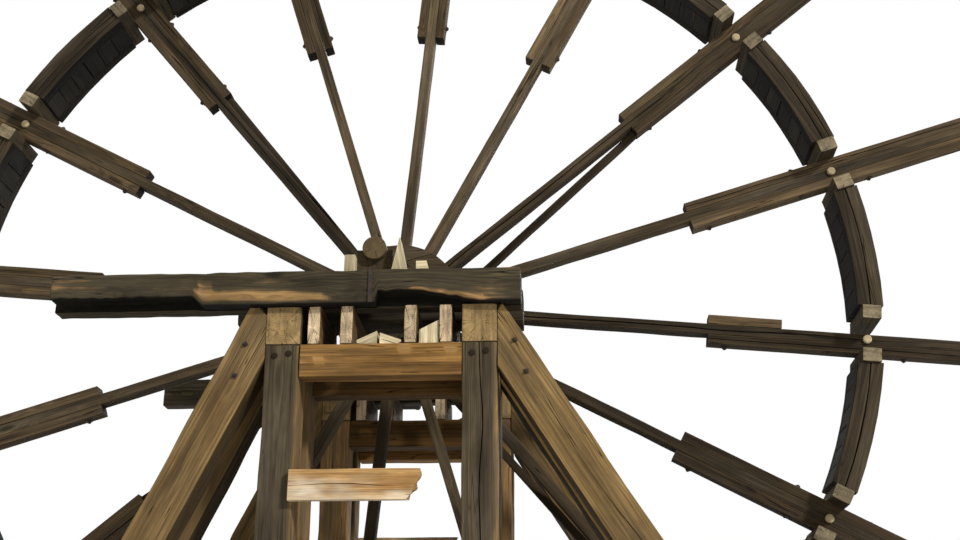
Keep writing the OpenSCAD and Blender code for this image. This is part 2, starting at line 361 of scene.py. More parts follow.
def worn_section(section, t, length, style, rng):
    """The section's points at each station, worn and cracked, and how deep its cracks are."""
    side, role = section.side, section.role
    around = np.arange(len(side))
    shift, half, depth = [values[:, side] for values in cracks(section, t, style, rng)]
    face = np.array([np.ptp(section.at[side == k], axis=0).max() for k in range(section.sides)])
    sideways = np.where(role != FACE, shift * face[side] * CRACK_WANDER, 0)
    sideways += np.where(role == RIGHT_LIP, half, 0) - np.where(role == LEFT_LIP, half, 0)
    inwards = np.where(role == CRACK_FLOOR, np.minimum(depth, face.min() * DEEPEST_CRACK), 0)
    metres = t * length
    for k in around:
        inwards[:, k] += style["rough"] * np.clip(0.5 + 0.5 * wobble(metres * ROUGH_WAVES, rng, 3), 0, 1)
    for k in range(section.sides):
        wane = style["wane"] * np.clip(wobble(metres * WANE_WAVES, rng) + 0.1, 0, 1)
        first, following = [np.argmax(side == n % section.sides) for n in (k, k + 1)]
        waned = section.corner & (side == k) & (around > first + 1) | (around == following)
        inwards += np.where(waned, wane[:, None] * 0.7, 0)
    at = section.at + section.along * sideways[..., None] - section.out * inwards[..., None]
    end_inset = style["bevel"] * END_BEVEL
    for row in (0, -1):
        at[row] -= section.out * end_inset * (role != CRACK_FLOOR)[:, None]
    return at, depth


def end_face(at, edge, first):
    """A sawn end inside its edge: rings of places towards the middle, and the faces between them."""
    centre = at.mean(axis=0)
    spots, faces = [], []
    for share in END_RINGS:
        spots.append(centre + (at - centre) * share)
        ring = first + np.arange(len(at))
        faces += faces_between(edge, ring)
        edge, first = ring, first + len(at)
    fan = np.stack([edge, np.roll(edge, -1), np.full(len(edge), first)], axis=1)
    return np.concatenate(spots + [centre[None]]), faces + fan.tolist()


def sweep(heap, section, length, place, style, flip=False, tone=None, dark=(), fresh=None,
          gloom=0.85):
    """Adds one timber: section carried along a path, with worn edges, cracks and ends.

    place(t, a, b) gives the points and their grain at share t of the length. flip is for a place
    whose three directions are left-handed. dark lists the sides darkened with painted shade, and the
    last argument says how dark that painted shade is. The function given after dark says how much
    newly split wood and painted sunlight shows at each point, from 0 to 1.
    """
    steps = max(3, int(length / style["step"]))
    lip = min(style["bevel"] * END_BEVEL, length * 0.1) / length
    t = np.concatenate([[0, lip], np.linspace(0, 1, steps + 1)[1:-1], [1 - lip, 1]])
    at, depth = worn_section(section, t, length, style, heap.rng)
    tone = heap.rng.random() if tone is None else tone
    stations, around = depth.shape
    wear_and_sunlight = np.tile(section.corner * EDGE_WEAR, (stations, 1))
    crack_depth_and_shade = np.where(section.role == CRACK_FLOOR, np.clip(depth / BLACK_DEPTH, 0, 1), 0)
    # Painted shade: the listed sides are darkened through the crack channel
    shaded = np.isin(section.side, dark)
    crack_depth_and_shade[:, shaded] = np.maximum(crack_depth_and_shade[:, shaded], gloom)
    wear_and_sunlight[:, shaded] = 0
    wear_and_sunlight[[0, -1]] = RIM_WEAR
    points, grain = place(np.repeat(t[:, None], around, axis=1), at[..., 0], at[..., 1])
    # Painted sunlight and pale marks go into the wear channel, as newly split wood does
    if fresh:
        wear_and_sunlight = np.maximum(wear_and_sunlight, 2 * fresh(points))
    parts = [(points, grain, np.stack([np.full_like(wear_and_sunlight, tone), wear_and_sunlight, crack_depth_and_shade, np.zeros_like(wear_and_sunlight)], -1))]
    numbers = np.arange(stations * around).reshape(stations, around)
    faces = [face for pair in zip(numbers, numbers[1:]) for face in faces_between(*pair)]
    first = numbers.size
    for row, order in ((0, -1), (-1, 1)):
        spots, end_faces = end_face(at[row], numbers[row], first)
        points, grain = place(np.full(len(spots), t[row]), spots[:, 0], spots[:, 1])
        parts.append((points, grain, np.tile([tone, END_WEAR, 0, 1], (len(spots), 1))))
        faces += [face[::order] for face in end_faces]
        first += len(spots)
    heap.add(parts, [face[::-1] for face in faces] if flip else faces)


def straight(heap, points, style, prism=Y, heart=0.03, broken=(0.0, 0.0), swing=0.0, tone=None,
             **looks):
    """A straight timber over a solid that is a prism along one axis, with its ends cut as they are.

    swing turns the solid back about the axle first, so that a timber set round the wheel at that
    angle is a prism along an axis. broken is how far each end is splintered. tone may be a function
    of the solid's points, and looks are what else sweep takes. The section's direction a is square
    to the length, and b is the prism's.
    """
    tone = tone(points) if callable(tone) else tone
    plane = [axis for axis in (X, Y, Z) if axis != prism]
    points = spun(points, -swing)
    outline = hull(points[:, plane])
    edges = np.roll(outline, -1, axis=0) - outline
    longest = edges[np.argmax(np.linalg.norm(edges, axis=1))]
    steep = abs(longest[0]) < 0.3
    u = longest / np.linalg.norm(longest) * (1 if steep or longest[0] > 0 else -1)
    v = np.array([-u[1], u[0]])
    local = np.stack([outline @ u, outline @ v], axis=1)
    (a0, a1), (b0, b1) = limits(local, 1), limits(points, prism)
    section = Section(rectangle(a0, a1, b0, b1), style["bevel"], style["chance"] > 0)
    tree = tree_place(heap.rng, heart)
    ragged = [rough_surface(heap.rng) for _ in broken]

    def place(t, a, b):
        low, high = span(local, a)
        splinters = [size * rough(a, b) for size, rough in zip(broken, ragged)]
        along = low + (high - low) * t
        along = along + splinters[0] * np.clip(1 - 8 * t, 0, 1) - splinters[1] * np.clip(8 * t - 7, 0, 1)
        out = np.zeros(a.shape + (3,))
        out[..., plane[0]] = along * u[0] + a * v[0]
        out[..., plane[1]] = along * u[1] + a * v[1]
        out[..., prism] = b
        return spun(out, swing), np.stack([along, a - (a0 + a1) / 2, b - (b0 + b1) / 2], -1) + tree

    sweep(heap, section, np.ptp(local[:, 0]), place, style, prism == Y, tone, **looks)


def beside_spoke(heap, points, style, **options):
    """A straight timber whose sides follow the spoke that it stands beside."""
    straight(heap, points, style, prism=Z, swing=nearest_spoke(points), **options)


class RingPart:
    """A solid that is part of a ring about the axle: its radii, its width, and where it ends."""

    def __init__(self, points):
        x, z = points[:, X], points[:, Z] - AXLE_HEIGHT
        radius = np.hypot(x, z)
        self.middle = math.atan2(z.mean(), x.mean())
        turn = wrapped(np.arctan2(z, x) - self.middle)
        self.radii, self.width = (radius.min(), radius.max()), limits(points, Y)
        inner, outer = turn[radius < self.radii[0] + 0.002], turn[radius > self.radii[1] - 0.002]
        self.starts, self.stops = (inner.min(), outer.min()), (inner.max(), outer.max())
        self.swing = inner.max() - inner.min()

    def place(self, radius, y, share):
        """Points at a share of the way to the far end, and their angles from the part's middle."""
        low = np.interp(radius, self.radii, self.starts)
        turn = low + (np.interp(radius, self.radii, self.stops) - low) * share
        at = self.middle + turn
        return np.stack([radius * np.cos(at), y, AXLE_HEIGHT + radius * np.sin(at)], -1), turn


# Gaps between the bands of a felloe and between boards, and the widths of the two kinds of board
FELLOE_SEAM = 0.007
SOLE_SEAM = 0.006
PLATE_SEAM = 0.005
SOLE_BOARD = 0.21
PLATE_BOARD = 0.24


def felloes(heap, points, style):
    """Felloes sawn to the wheel's curve, in two bands, over a solid that is part of a ring."""
    ring = RingPart(points)
    (r0, r1), (y0, y1) = ring.radii, ring.width
    seam = r0 + (r1 - r0) / 2
    # The inner band's face towards the axle is darkened with painted shade
    for low, high, dark in ((r0, seam - FELLOE_SEAM / 2, (LOW_A,)), (seam + FELLOE_SEAM / 2, r1, ())):
        tree = tree_place(heap.rng, 0.12)

        def place(t, a, b):
            out, turn = ring.place(a, b, t)
            grain = np.stack([a * np.sin(turn), a * np.cos(turn) - r0, b - (y0 + y1) / 2], -1)
            return out, grain + tree

        section = Section(rectangle(low, high, y0, y1), style["bevel"], style["chance"] > 0)
        sweep(heap, section, ring.swing * (r0 + r1) / 2, place, style, dark=dark)


def boards_across(heap, points, style):
    """Short boards that lie side by side across the wheel, over a solid that is part of a ring."""
    ring = RingPart(points)
    (r0, r1), (y0, y1) = ring.radii, ring.width
    count = max(1, round(ring.swing * r0 / SOLE_BOARD))
    gap = SOLE_SEAM / 2 / (SOLE_BOARD * count)
    for k in range(count):
        tree = tree_place(heap.rng, 0.10)

        def place(t, a, b):
            y = y0 + (y1 - y0) * t
            return ring.place(a, y, b)[0], np.stack([y, a - r0, b * SOLE_BOARD * count], -1) + tree

        low, high = k / count + gap, (k + 1) / count - gap
        section = Section([(r0, low), (r1, low), (r1, high), (r0, high)], 0, False)
        sweep(heap, section, y1 - y0, place, style, True)


def along_axle(y0, y1, tree):
    """The place function of a timber that lies along the axle."""
    def place(t, a, b):
        y = y0 + (y1 - y0) * t
        return np.stack([a, y, AXLE_HEIGHT + b], -1), np.stack([y, a, b], -1) + tree

    return place


def inset(line, by):
    """An anticlockwise outline moved inwards by a distance."""
    ahead = np.roll(line, -1, axis=0) - line
    ahead = ahead / np.linalg.norm(ahead, axis=1, keepdims=True)
    behind = np.roll(ahead, 1, axis=0)
    way = np.stack([-(ahead + behind)[:, 1], (ahead + behind)[:, 0]], axis=1)
    half = np.clip((way * way).sum(axis=1, keepdims=True) / 2, 0.4, None)
    return line + way / half * by


def slab(heap, outline, y0, y1, bevel, hole=None, along=X):
    """A board cut to an outline, with its rim bevelled, and a hole of the same number of corners."""
    tree = tree_place(heap.rng, 0.15)
    tone = heap.rng.random()
    layers = [(y0, bevel), (y0 + bevel, 0), (y1 - bevel, 0), (y1, bevel)]
    rims = [(y, inset(outline, by), 0.8) for y, by in layers]
    if hole is not None:
        rims += [(y, inset(hole, -by), 0.5) for y, by in layers[::-1]]
    count = len(outline)
    points = np.concatenate([np.insert(line, Y, y, axis=1) for y, line, _ in rims])
    look = np.concatenate([np.tile([tone, wear_and_sunlight, 0, 0], (count, 1)) for _, _, wear_and_sunlight in rims])
    rings = np.arange(len(points)).reshape(-1, count)
    pairs = list(zip(rings, rings[1:])) + ([] if hole is None else [(rings[-1], rings[0])])
    faces = [face[::-1] for pair in pairs for face in faces_between(*pair)]
    if hole is None:
        faces += [rings[0].tolist(), rings[-1].tolist()[::-1]]
    order = [along] + [axis for axis in (X, Y, Z) if axis != along]
    grain = points[:, order] + tree
    grain[:, 1:] -= points[:, order[1:]].mean(axis=0)
    heap.add([(points, grain, look)], faces)


def hoop(heap, inner, outer, y0, y1):
    """A ring about the axle."""
    slab(heap, circle(outer, 48, AXLE_HEIGHT), y0, y1, 0.003, circle(inner, 48, AXLE_HEIGHT))


def two_hoops(heap, points, start, stop, below, above):
    """A hoop near each end of a solid: its sides from that end, and its reach from the surface."""
    radius = radii(points).max()
    y0, y1 = limits(points, Y)
    for low, high in ((y0 + start, y0 + stop), (y1 - stop, y1 - start)):
        hoop(heap, radius - below, radius + above, low, high)


# Small fixings

# Half the width of a bolt's square washer and of its nut, on the wheel and at the strut heads
WHEEL_BOLT = (0.048, 0.024)
STRUT_BOLT = (0.030, 0.016)

# Radii of the bolts through the clasped spokes, and of the peg that each has at the ring
BOLT_RADII = (3.52, 4.58, 5.38, 6.85, 8.30)
PEG_RADIUS = 4.98

# How far the bolts lie below a strut's top
BOLT_DROPS = (0.36, 0.66)

# Pegs in a post's head: share of the rails' height, and shift from the post's middle
POST_PEGS = ((0.66, -0.07), (0.72, 0.06))

# Nails in a girt's end: shift from the post's middle, and height above the girt's middle
GIRT_NAILS = ((-0.08, 0.07), (0.07, -0.06), (-0.06, -0.08))

# Looks of small end grain: tone, wear, depth in a crack, and 1 for end grain. The black one is painted
# shade, for the dark inside peg holes
PLAIN_END = (0.5, 0.2, 0, 1)
BLACK_END = (-0.6, 0, 0.4, 1)


def stub(heap, place, axis, radius, high, sides, taper=0.85, turn=0.0, look=PLAIN_END):
    """A short prism that stands on a face: a peg, a nut or a washer."""
    axis = np.array(axis, float) / np.linalg.norm(axis)
    other = np.eye(3)[Z if abs(axis[Z]) < 0.9 else X]
    first = np.cross(other, axis)
    first /= np.linalg.norm(first)
    second = np.cross(axis, first)
    turns = turn + FULL_TURN * np.arange(sides) / sides
    ring = first * np.cos(turns)[:, None] + second * np.sin(turns)[:, None]
    levels = ((1.0, -0.01), (1.0, high * 0.75), (taper, high))
    points = np.concatenate([place + ring * radius * share + axis * level for share, level in levels])
    rings = np.arange(len(points)).reshape(-1, sides)
    faces = faces_between(rings[0], rings[1]) + faces_between(rings[1], rings[2])
    faces += [rings[2].tolist(), rings[0].tolist()[::-1]]
    flat = points - place
    grain = np.stack([flat @ axis + place[X], flat @ first, flat @ second], axis=-1)
    heap.add([(points, grain, np.tile(look, (len(points), 1)))], faces)


def bolt(heap, place, axis, washer, nut):
    """A square washer with a six-sided nut and the bolt's end on it."""
    stub(heap, place, axis, washer, 0.007, 4, 0.96, heap.rng.uniform(0, math.pi / 2))
    stub(heap, place, axis, nut, 0.022, 6, 0.90, heap.rng.uniform(0, 1))
    stub(heap, place, axis, nut * 0.5, 0.030, 8, 0.80)


def wheel_fixings():
    """Bolts through the clasped spokes, and a peg in each of them at the ring."""
    bolts = Heap(71)
    pegs = Heap(bolts.rng)
    for points in solids("spoke_cheeks"):
        angle = nearest_spoke(points)
        local = spun(points, -angle)
        height = local[:, Z] - AXLE_HEIGHT
        side = 1 if height.mean() > 0 else -1
        across = np.array((-math.sin(angle), 0.0, math.cos(angle))) * side
        end = local[:, X].max() - 0.1
        for n, r in enumerate(r for r in BOLT_RADII if r < end):
            place = (r, 0.035 * (-1) ** n, AXLE_HEIGHT + side * abs(height).max())
            bolt(bolts, spun(place, angle), across, *WHEEL_BOLT)
    face = outermost(solids("spokes")[0])
    for angle in SPOKE_ANGLES:
        for way in (-1, 1):
            place = spun((PEG_RADIUS, way * face, AXLE_HEIGHT), angle)
            stub(pegs, place, (0, way, 0), 0.045, 0.030, 12, 0.75, look=(pegs.rng.random(), 0.2, 0, 1))
    bolts.build("wheel_bolts", "iron", "wheel")
    pegs.build("wheel_pegs", "chock_timber", "wheel")


def strut_bolts(bolts, node, way):
    """Two bolts in the head of the outer strut of a node."""
    points = max(solids(node), key=outermost)
    low, top = limits(points, Z)
    head = abs(points[points[:, Z] > top - 0.001][:, X])
    spread = (abs(points[:, X]).max() - head.max()) / (top - low)
    hand = 1 if points[:, X].mean() > 0 else -1
    for drop in BOLT_DROPS:
        x = hand * (head.min() + (head.max() - head.min() + spread * drop) * 0.55)
        bolt(bolts, (x, way * outermost(points), top - drop), (0, way, 0), *STRUT_BOLT)


def post_fixings(bolts, pegs, tower, node, way):
    """Pegs where the upper rails meet a post, and nails where the outer girts cross it."""
    rail_low, rail_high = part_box(tower + "_upper_rails")
    low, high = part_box(node)
    x, y = (low.x + high.x) / 2, max(abs(low.y), abs(high.y))
    for share, shift in POST_PEGS:
        place = (x + shift, way * y, rail_low.z + (rail_high.z - rail_low.z) * share)
        # Black pegs, painted as the shade inside peg holes
        stub(pegs, place, (0, way, 0), 0.030, 0.008, 10, look=BLACK_END)
    for points in solids(tower + "_girts"):
        if outermost(points) >= y:
            for shift, rise in GIRT_NAILS:
                place = (x + shift, way * outermost(points), points[:, Z].mean() + rise)
                stub(bolts, place, (0, way, 0), 0.014, 0.008, 8, 0.7)


def tower_fixings():
    """Bolts at the strut heads, pegs where rails meet posts, and nails in the girts."""
    bolts = Heap(72)
    pegs = Heap(bolts.rng)
    for tower, way in TOWERS.items():
        for hand in HANDS:
            strut_bolts(bolts, tower + hand + "_struts", way)
        for hand in HANDS:
            post_fixings(bolts, pegs, tower, tower + hand + "_posts", way)
    bolts.build("tower_bolts", "iron", "frame")
    pegs.build("tower_pegs", "post_timber", "frame")


# Materials

def colour(red, green, blue):
    """A colour given as it looks on screen, 0 to 255, as Blender's linear values."""
    values = [c / 255 for c in (red, green, blue)]
    return [c / 12.92 if c <= 0.04045 else ((c + 0.055) / 1.055) ** 2.4 for c in values] + [1.0]


class Graph:
    """The node tree of a material or a world, built from short calls."""

    def __init__(self, owner):
        self.owner = owner
        owner.use_nodes = True
        self.tree = owner.node_tree
        self.tree.nodes.clear()

    def add(self, kind, inputs=(), **settings):
        """A shader node of this kind. Each input is a value, or the socket that feeds it."""
        node = self.tree.nodes.new("ShaderNode" + kind)
        for key, value in settings.items():
            setattr(node, key, value)
        for key, value in dict(inputs).items():
            if isinstance(value, bpy.types.NodeSocket):
                self.tree.links.new(value, node.inputs[key])
            else:
                node.inputs[key].default_value = value
        return node

    def math(self, operation, first, *others, clamp=False):
        """The values taken together from left to right, or the operation on one value alone."""
        for other in others or (0.0,):
            node = self.add("Math", {0: first, 1: other}, operation=operation, use_clamp=clamp)
            first = node.outputs[0]
        return first

    def times(self, *values):
        return self.math("MULTIPLY", *values)

    def weighted(self, *terms):
        """Each value times its weight."""
        return [self.times(value, weight) for value, weight in terms]

    def vector(self, *terms):
        """A vector of three values, each times its weight."""
        return self.add("CombineXYZ", dict(enumerate(self.weighted(*terms)))).outputs[0]

    def scaled(self, vector, scale):
        return self.add("VectorMath", {0: vector, 1: scale}, operation="MULTIPLY").outputs[0]

    def noise(self, vector, scale, detail, rough):
        """Noise with a scale for each direction, or at the vector as it is."""
        place = self.scaled(vector, scale) if scale else vector
        inputs = {"Vector": place, "Scale": 1.0, "Detail": detail, "Roughness": rough}
        return self.add("TexNoise", inputs).outputs[0]

    def smooth(self, value, low, high, to_low=0.0, to_high=1.0):
        inputs = {"Value": value, "From Min": low, "From Max": high, "To Min": to_low, "To Max": to_high}
        return self.add("MapRange", inputs, interpolation_type="SMOOTHSTEP").outputs[0]

    def centred(self, value):
        return self.math("SUBTRACT", value, 0.5)

    def line(self, noise, half_width, reach):
        """1 on the lines where a noise is at its middle, falling to 0 beside them."""
        return self.smooth(self.math("ABSOLUTE", self.centred(noise)), half_width, reach, 1.0, 0.0)

    def mix(self, share, a, b, blend="MIX"):
        inputs = {0: share, 6: a, 7: b}
        return self.add("Mix", inputs, data_type="RGBA", blend_type=blend).outputs[2]

    def finish(self, base, roughness, height, bump, distance, metallic=0.0, gloss=0.5):
        relief = self.add("Bump", {"Strength": bump, "Distance": distance, "Height": height})
        shader = self.add("BsdfPrincipled", {
            "Base Color": base, "Roughness": roughness, "Metallic": metallic,
            "Specular IOR Level": gloss, "Normal": relief.outputs[0]})
        self.add("OutputMaterial", {"Surface": shader.outputs[0]})
        return self.owner


# Rings to the metre in end grain, and drying checks round the pith for each radian
RINGS = 150.0
CHECKS = 2.6

# The tint of weathered wood and of the paler girt, and the colour of newly split wood, also used for
# painted sunlight
WEATHERED = (110, 99, 82)
PALE_GIRT_TINT = (220, 208, 184)
FRESH_OR_SUNLIT = (146, 114, 72)


def wood_lines(g, grain, tone, end, blotch):
    """The growth rings' figure, and where knots, checks in the ends and splits in the faces are."""
    along, a, b = g.add("SeparateXYZ", {0: grain}).outputs[:3]
    on_face = g.math("SUBTRACT", 1.0, end, clamp=True)
    cells = {"Vector": g.scaled(grain, (0.8, 3.0, 3.0)), "Scale": 1.0}
    distance = g.add("TexVoronoi", cells).outputs["Distance"]
    knot = g.times(g.smooth(distance, 0.04, 0.11, 1.0, 0.0), on_face)
    swirl = g.smooth(distance, 0.04, 0.34, 0.022, 0.0)
    drift = g.noise(grain, (0.35, 2.2, 2.2), 2.0, 0.5)
    radius = g.math("SQRT", g.math("ADD", g.times(a, a), g.times(b, b)))
    radius = g.math("ADD", radius, g.times(drift, 0.05), swirl)
    figure = g.noise(g.vector((radius, RINGS), (along, 0.5), (tone, 9.0)), None, 3.0, 0.7)
    checks_at = g.vector((g.math("ARCTAN2", a, b), CHECKS), (tone, 31.0), (radius, 2.0))
    check = g.line(g.noise(checks_at, None, 1.0, 0.4), 0.004, 0.016)
    check = g.times(check, end, g.smooth(radius, 0.03, 0.07))
    split = g.line(g.noise(grain, (0.38, 15.0, 15.0), 1.0, 0.4), 0.003, 0.012)
    split = g.times(split, g.smooth(blotch, 0.46, 0.6), on_face)
    return figure, knot, check, split


def wood(name, pale, mid, dark, ends, weather, streaks, tint):
    """Weathered wood whose figure, fibres, knots and fine cracks follow the timber's own grain."""
    g = Graph(bpy.data.materials.new(name))
    grain = g.add("Attribute", attribute_name="grain").outputs["Vector"]
    look = g.add("Attribute", attribute_name="look")
    tone, wear_and_sunlight, crack_depth_and_shade = g.add("SeparateColor", {0: look.outputs["Color"]}).outputs[:3]
    end = look.outputs["Alpha"]
    streak = g.noise(grain, (0.22, 7.0, 7.0), 3.0, 0.6)
    vein = g.noise(grain, (0.7, 34.0, 34.0), 3.0, 0.6)
    stain = g.noise(grain, (0.5, 1.7, 1.7), 4.0, 0.6)
    blotch = g.noise(grain, (1.6, 5.0, 5.0), 3.0, 0.65)
    fibre = g.noise(grain, (5.0, 170.0, 170.0), 2.0, 0.6)
    bands = g.noise(grain, (1.0, 3.0, 26.0), 3.0, 0.6)
    figure, knot, check, split = wood_lines(g, grain, tone, end, blotch)
    # The tone sets this shade; on spokes, clasping planks, stays and inner rails and struts it is painted
    # light and shade
    shade = g.times(g.math("ADD", g.times(tone, 0.5), 0.75), g.smooth(fibre, 0.25, 0.75, 0.82, 1.15),
                    g.smooth(blotch, 0.3, 0.7, 0.74, 1.18))
    shade = g.add("CombineColor", {0: shade, 1: shade, 2: shade}).outputs[0]

    # Figure, veins, streaks and stains, with the edges rubbed pale
    base = g.mix(g.smooth(figure, 0.36, 0.66), mid, pale)
    base = g.mix(g.times(g.smooth(vein, 0.42, 0.72), 0.6), base, dark)
    base = g.mix(g.times(g.smooth(streak, 0.46, 0.68), streaks), base, dark)
    base = g.mix(g.times(g.smooth(stain, 0.44, 0.68), weather), base, tint)
    base = g.mix(1.0, base, shade, "MULTIPLY")
    base = g.mix(g.times(wear_and_sunlight, wear_and_sunlight, g.smooth(streak, 0.35, 0.6, 0.05, 0.4)), base, pale)

    # Newly split wood and painted sunlight, with a border that follows the veins and blotches
    border = g.weighted((g.centred(vein), 1.8), (g.centred(blotch), 1.8))
    fresh = g.mix(g.smooth(figure, 0.35, 0.65, 0.0, 0.5), colour(*FRESH_OR_SUNLIT), mid)
    fresh = g.mix(1.0, fresh, shade, "MULTIPLY")
    base = g.mix(g.smooth(g.math("ADD", wear_and_sunlight, *border), 1.05, 1.9), base, fresh)

    # Sawn ends
    rings = g.mix(g.smooth(figure, 0.35, 0.65, 0.0, 0.32), ends, dark)
    rings = g.mix(g.smooth(bands, 0.42, 0.66, 0.0, 0.45), rings, mid)
    base = g.mix(end, base, g.mix(1.0, rings, shade, "MULTIPLY"))

    # Cracks, splits, knots, checks and painted shade, and the relief
    black = g.math("MAXIMUM", *g.weighted((crack_depth_and_shade, 0.97), (split, 0.85), (knot, 0.65), (check, 0.55)))
    base = g.mix(black, base, [c * 0.22 for c in dark[:3]] + [1.0])
    height = g.math("ADD", *g.weighted((figure, 0.25), (fibre, 0.3), (vein, 0.5), (split, -0.9),
                                       (check, -0.9), (knot, 0.2)))
    return g.finish(base, g.smooth(fibre, 0.2, 0.8, 0.70, 0.94), height, 0.6, 0.007, gloss=0.12)


def rusted(name):
    """Wrought iron with a dull brown coat of rust."""
    g = Graph(bpy.data.materials.new(name))
    place = g.add("TexCoord").outputs["Object"]
    broad = g.noise(place, (14.0, 14.0, 14.0), 4.0, 0.6)
    fine = g.noise(place, (160.0, 160.0, 160.0), 3.0, 0.6)
    base = g.mix(g.smooth(broad, 0.35, 0.65), colour(34, 31, 28), colour(64, 49, 37))
    base = g.mix(g.smooth(fine, 0.5, 0.75, 0.0, 0.5), base, colour(92, 64, 42))
    height = g.math("ADD", *g.weighted((broad, 0.5), (fine, 0.5)))
    return g.finish(base, g.smooth(broad, 0.3, 0.7, 0.6, 0.9), height, 0.5, 0.002, metallic=0.25)


# Pale, middle and dark colour of each timber, its sawn ends, how grey it has weathered, how streaked
TIMBERS = {
    "axle_timber": ((104, 88, 62), (80, 67, 46), (42, 35, 25), (84, 70, 48), 0.20, 0.45),
    "hub_timber": ((80, 67, 47), (56, 46, 33), (28, 24, 17), (62, 52, 38), 0.20, 0.55),
    "spoke_timber": ((84, 70, 49), (58, 48, 33), (26, 22, 16), (40, 34, 25), 0.20, 0.60),
    "cheek_timber": ((100, 82, 56), (70, 56, 37), (33, 27, 19), (36, 30, 22), 0.18, 0.50),
    "felloe_timber": ((70, 59, 42), (46, 38, 27), (21, 18, 13), (42, 35, 25), 0.20, 0.60),
    # The soles' near-black colour is painted shade for the ring's inner face
    "sole_timber": ((30, 27, 21), (21, 18, 14), (10, 9, 7), (18, 16, 12), 0.05, 0.60),
    "cleat_timber": ((86, 74, 54), (60, 50, 35), (28, 24, 17), (146, 132, 104), 0.25, 0.45),
    "post_timber": ((98, 85, 62), (67, 57, 41), (32, 27, 20), (74, 62, 45), 0.40, 0.65),
    "strut_timber": ((138, 112, 70), (106, 83, 50), (60, 47, 29), (104, 82, 49), 0.15, 0.50),
    "beam_timber": ((68, 60, 43), (44, 38, 27), (19, 17, 12), (48, 42, 31), 0.20, 0.60),
    "cap_timber": ((100, 81, 53), (69, 54, 34), (32, 25, 16), (150, 124, 82), 0.20, 0.50),
    "joist": ((118, 95, 64), (86, 67, 43), (42, 33, 22), (216, 190, 152), 0.15, 0.45),
    "rail_timber": ((146, 108, 57), (108, 76, 36), (54, 37, 19), (110, 82, 43), 0.12, 0.50),
    "bleached": ((180, 144, 94), (142, 104, 58), (80, 55, 29), (138, 110, 70), 0.95, 0.35),
    "sill_timber": ((86, 73, 52), (60, 50, 36), (30, 25, 18), (54, 45, 32), 0.35, 0.60),
    "chock_timber": ((212, 199, 164), (180, 164, 128), (124, 104, 74), (190, 172, 134), 0.10, 0.30),
}


@functools.cache
def material(name):
    """The wood or iron of this name, made once."""
    if name not in TIMBERS:
        return rusted(name)
    *colours, weather, streaks = TIMBERS[name]
    tint = PALE_GIRT_TINT if name == "bleached" else WEATHERED
    return wood(name, *[colour(*c) for c in colours], weather, streaks, colour(*tint))


# Pieces of the wheel

def timbers(body, node, slot, style, seed, shape=straight, finish=None, **options):
    """One piece that stands for a CAD node, with a timber for each of its solids."""
    heap = Heap(seed)
    for points in solids(node):
        shape(heap, points, style, **options)
    heap.build(node + "_timber", slot, body, (node,), finish)


def axle_piece():
    """A round timber, hewn to many faint flats."""
    section = Section(circle(AXLE_RADIUS, 24), 0.002, False)
    section.out = section.at / np.linalg.norm(section.at, axis=1, keepdims=True)
    section.at = section.out * AXLE_RADIUS
    heap = Heap(1)
    place = along_axle(AXLE_LOW.y, AXLE_HIGH.y, tree_place(heap.rng, 0.01))
    sweep(heap, section, AXLE_HIGH.y - AXLE_LOW.y, place, ROUND, True)
    heap.build("axle_log", "axle_timber", "wheel", ("axle",))


def barrel_piece():
    """The hub's barrel: one board-wide flat for each spoke."""
    points = solids("hub_barrel")[0]
    corner = radii(points).max()
    y0, y1 = limits(points, Y)
    count = len(SPOKE_ANGLES)
    start = SPOKE_ANGLES[0] + math.pi / count
    heap = Heap(2)
    for k in range(count):
        low, high = start + FULL_TURN * k / count, start + FULL_TURN * (k + 1) / count
        stave = ((corner, low), (corner, high), (AXLE_RADIUS, high), (AXLE_RADIUS, low))
        section = Section([(r * math.cos(t), r * math.sin(t)) for r, t in stave], 0.006, False)
        place = along_axle(y0, y1, tree_place(heap.rng, 0.2))
        sweep(heap, section, y1 - y0, place, STAVE, True)
    heap.build("hub_barrel_staves", "hub_timber", "wheel", ("hub_barrel",))


def plates_piece():
    """The round plates that clasp the spokes: parallel boards with the axle's hole cut out of them."""
    heap = Heap(3)
    for points in solids("hub_plates"):
        radius = radii(points)
        outer = radius.max()
        inner = radius[radius < (outer + radius.min()) / 2].max()
        turn = heap.rng.uniform(0, math.pi)
        c, s = math.cos(turn), math.sin(turn)
        seams = np.linspace(-outer, outer, math.ceil(2 * outer / PLATE_BOARD) + 1)
        for low, high in zip(seams, seams[1:]):
            rows = np.linspace(low + PLATE_SEAM / 2, high - PLATE_SEAM / 2, 9)
            far = np.sqrt(np.clip(outer ** 2 - rows ** 2, 0, None)) + 0.002
            hole = np.sqrt(np.clip(inner ** 2 - rows ** 2, 0, None))
            whole = hole.max() == 0
            for hand in (1,) if whole else (1, -1):
                back = -far if whole else hand * (hole + 0.002)
                a = np.concatenate([hand * far, back[::-1]])
                b = np.concatenate([rows, rows[::-1]])
                line = np.stack([a * c - b * s, AXLE_HEIGHT + a * s + b * c], axis=1)
                slab(heap, line[::hand], *limits(points, Y), 0.003)
    heap.build("hub_plate_boards", "hub_timber", "wheel", ("hub_plates",))


def collar_and_hoops():
    """The block that the stays end on, and the iron hoops round it and round the barrel."""
    collar = solids("stay_collar")[0]
    heap = Heap(4)
    hoop(heap, AXLE_RADIUS, radii(collar).max(), *limits(collar, Y))
    heap.build("stay_collar_block", "hub_timber", "wheel", ("stay_collar",))
    hoops = Heap(heap.rng)
    two_hoops(hoops, solids("hub_barrel")[0], start=0.05, stop=0.11, below=0.008, above=0.008)
    two_hoops(hoops, collar, start=0.03, stop=0.07, below=0.004, above=0.006)
    hoops.build("hub_hoops", "iron", "wheel")


